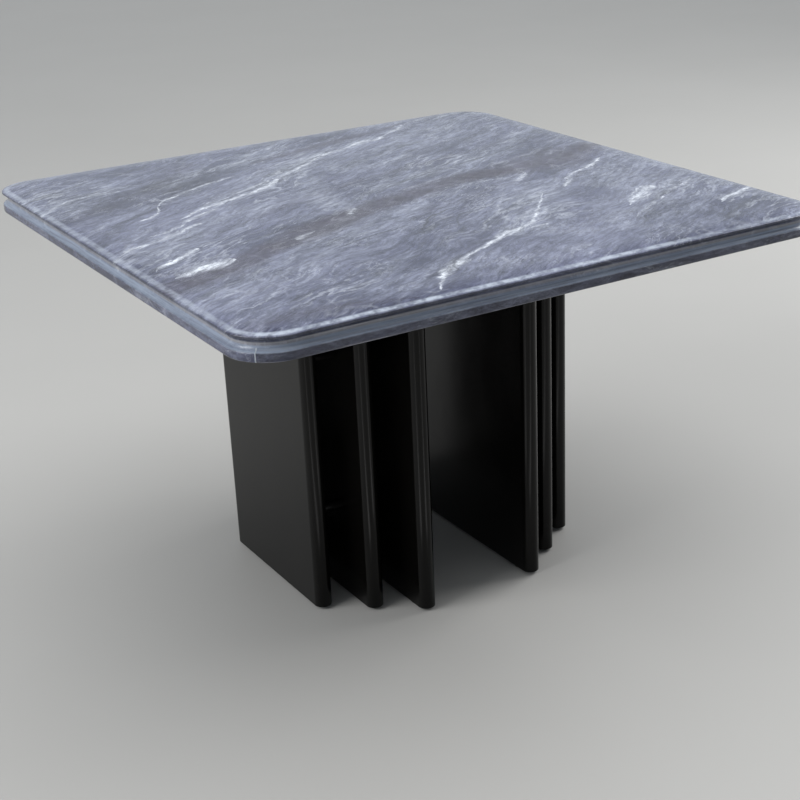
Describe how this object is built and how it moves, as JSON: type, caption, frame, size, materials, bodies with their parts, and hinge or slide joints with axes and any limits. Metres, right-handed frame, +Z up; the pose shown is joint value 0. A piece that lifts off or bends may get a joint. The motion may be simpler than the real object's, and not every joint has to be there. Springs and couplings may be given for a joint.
{
  "type": "square pedestal table",
  "caption": "Square stone-topped dining table with rounded corners and a grooved edge, on two groups of upright black fins held apart by round spacers.",
  "frame": {"origin": "on the floor under the middle of the top", "axes": "+Z up, +Y from the front to the rear along the fins, +X to the right across the fins"},
  "size_m": [1.2, 1.2, 0.75],
  "materials": {
    "stone": "polished blue-grey marble with pale veins",
    "lacquer": "satin black lacquer",
    "spacer": "satin black paint",
    "board": "black-stained plywood",
    "steel": "zinc plated",
    "pad": "clear silicone",
    "glide": "black nylon"
  },
  "bodies": {
    "root": {"stone_slab": "stone", "edge_strip_front": "stone", "edge_strip_right": "stone", "edge_strip_rear": "stone", "edge_strip_left": "stone", "sub_top_board": "board", "board_screws": "steel", "stone_pads": "pad", "tie_rods": "steel", "fin_left_inner": "lacquer", "fin_left_middle": "lacquer", "fin_left_outer": "lacquer", "fin_right_inner": "lacquer", "fin_right_middle": "lacquer", "fin_right_outer": "lacquer", "spacer_left_inner_front_lower": "spacer", "spacer_left_inner_front_upper": "spacer", "spacer_left_inner_rear_lower": "spacer", "spacer_left_inner_rear_upper": "spacer", "spacer_left_outer_front_lower": "spacer", "spacer_left_outer_front_upper": "spacer", "spacer_left_outer_rear_lower": "spacer", "spacer_left_outer_rear_upper": "spacer", "spacer_right_inner_front_lower": "spacer", "spacer_right_inner_front_upper": "spacer", "spacer_right_inner_rear_lower": "spacer", "spacer_right_inner_rear_upper": "spacer", "spacer_right_outer_front_lower": "spacer", "spacer_right_outer_front_upper": "spacer", "spacer_right_outer_rear_lower": "spacer", "spacer_right_outer_rear_upper": "spacer", "glide_left_inner_front": "glide", "glide_left_inner_rear": "glide", "glide_left_middle_front": "glide", "glide_left_middle_rear": "glide", "glide_left_outer_front": "glide", "glide_left_outer_rear": "glide", "glide_right_inner_front": "glide", "glide_right_inner_rear": "glide", "glide_right_middle_front": "glide", "glide_right_middle_rear": "glide", "glide_right_outer_front": "glide", "glide_right_outer_rear": "glide"}
  },
  "joints": []
}
